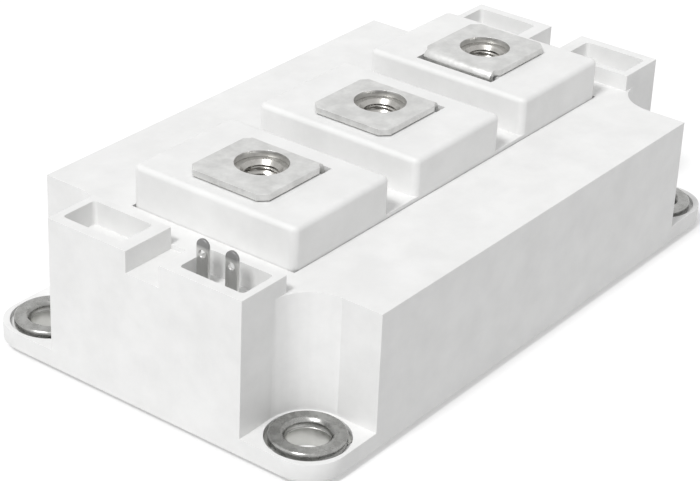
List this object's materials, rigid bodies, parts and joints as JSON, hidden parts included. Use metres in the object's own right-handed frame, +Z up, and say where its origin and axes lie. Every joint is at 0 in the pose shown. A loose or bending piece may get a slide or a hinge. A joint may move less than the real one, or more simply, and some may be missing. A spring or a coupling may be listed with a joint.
{
  "type": "igbt module",
  "caption": "White power semiconductor module: flat metal base, boxed housing with corner mounting ears, three screw terminals in a row and one pair of slim control tabs.",
  "frame": {"origin": "centre of the base plate's underside, which is the mounting face", "axes": "+X along the length, from the end with the control tabs to the other end; +Y across the width; +Z up, out of the mounting face"},
  "size_m": [0.1064, 0.0614, 0.0302],
  "materials": {
    "white_plastic": "matte moulded",
    "base_metal": "nickel plated, satin",
    "bushing_metal": "turned",
    "terminal_metal": "nickel plated, satin",
    "nut_steel": "zinc plated",
    "tab_metal": "tin plated",
    "lead_metal": "tin plated",
    "ceramic_white": "matte",
    "bare_copper": "satin",
    "chip_grey": "smooth",
    "wire_metal": "bright",
    "clear_gel": "clear, soft"
  },
  "bodies": {
    "root": {"housing": "white_plastic", "terminal_cover": "white_plastic", "base_plate": "base_metal", "bushing_1": "bushing_metal", "bushing_2": "bushing_metal", "bushing_3": "bushing_metal", "bushing_4": "bushing_metal", "power_terminal_1": "terminal_metal", "power_terminal_2": "terminal_metal", "power_terminal_3": "terminal_metal", "terminal_nut_1": "nut_steel", "terminal_nut_2": "nut_steel", "terminal_nut_3": "nut_steel", "gate_tab": "tab_metal", "emitter_tab": "tab_metal", "gate_lead": "lead_metal", "emitter_lead": "lead_metal", "ceramic_tile_1": "ceramic_white", "ceramic_tile_2": "ceramic_white", "bottom_copper_1": "bare_copper", "bottom_copper_2": "bare_copper", "top_copper_1": "bare_copper", "top_copper_2": "bare_copper", "link_strap": "bare_copper", "igbt_chip_1": "chip_grey", "igbt_chip_2": "chip_grey", "igbt_chip_3": "chip_grey", "igbt_chip_4": "chip_grey", "diode_chip_1": "chip_grey", "diode_chip_2": "chip_grey", "diode_chip_3": "chip_grey", "diode_chip_4": "chip_grey", "freewheel_diode_1": "chip_grey", "freewheel_diode_2": "chip_grey", "freewheel_diode_3": "chip_grey", "freewheel_diode_4": "chip_grey", "freewheel_diode_5": "chip_grey", "freewheel_diode_6": "chip_grey", "gate_wires": "wire_metal", "transistor_wires": "wire_metal", "diode_wires": "wire_metal", "freewheel_wires": "wire_metal", "silicone_gel": "clear_gel"}
  },
  "joints": []
}
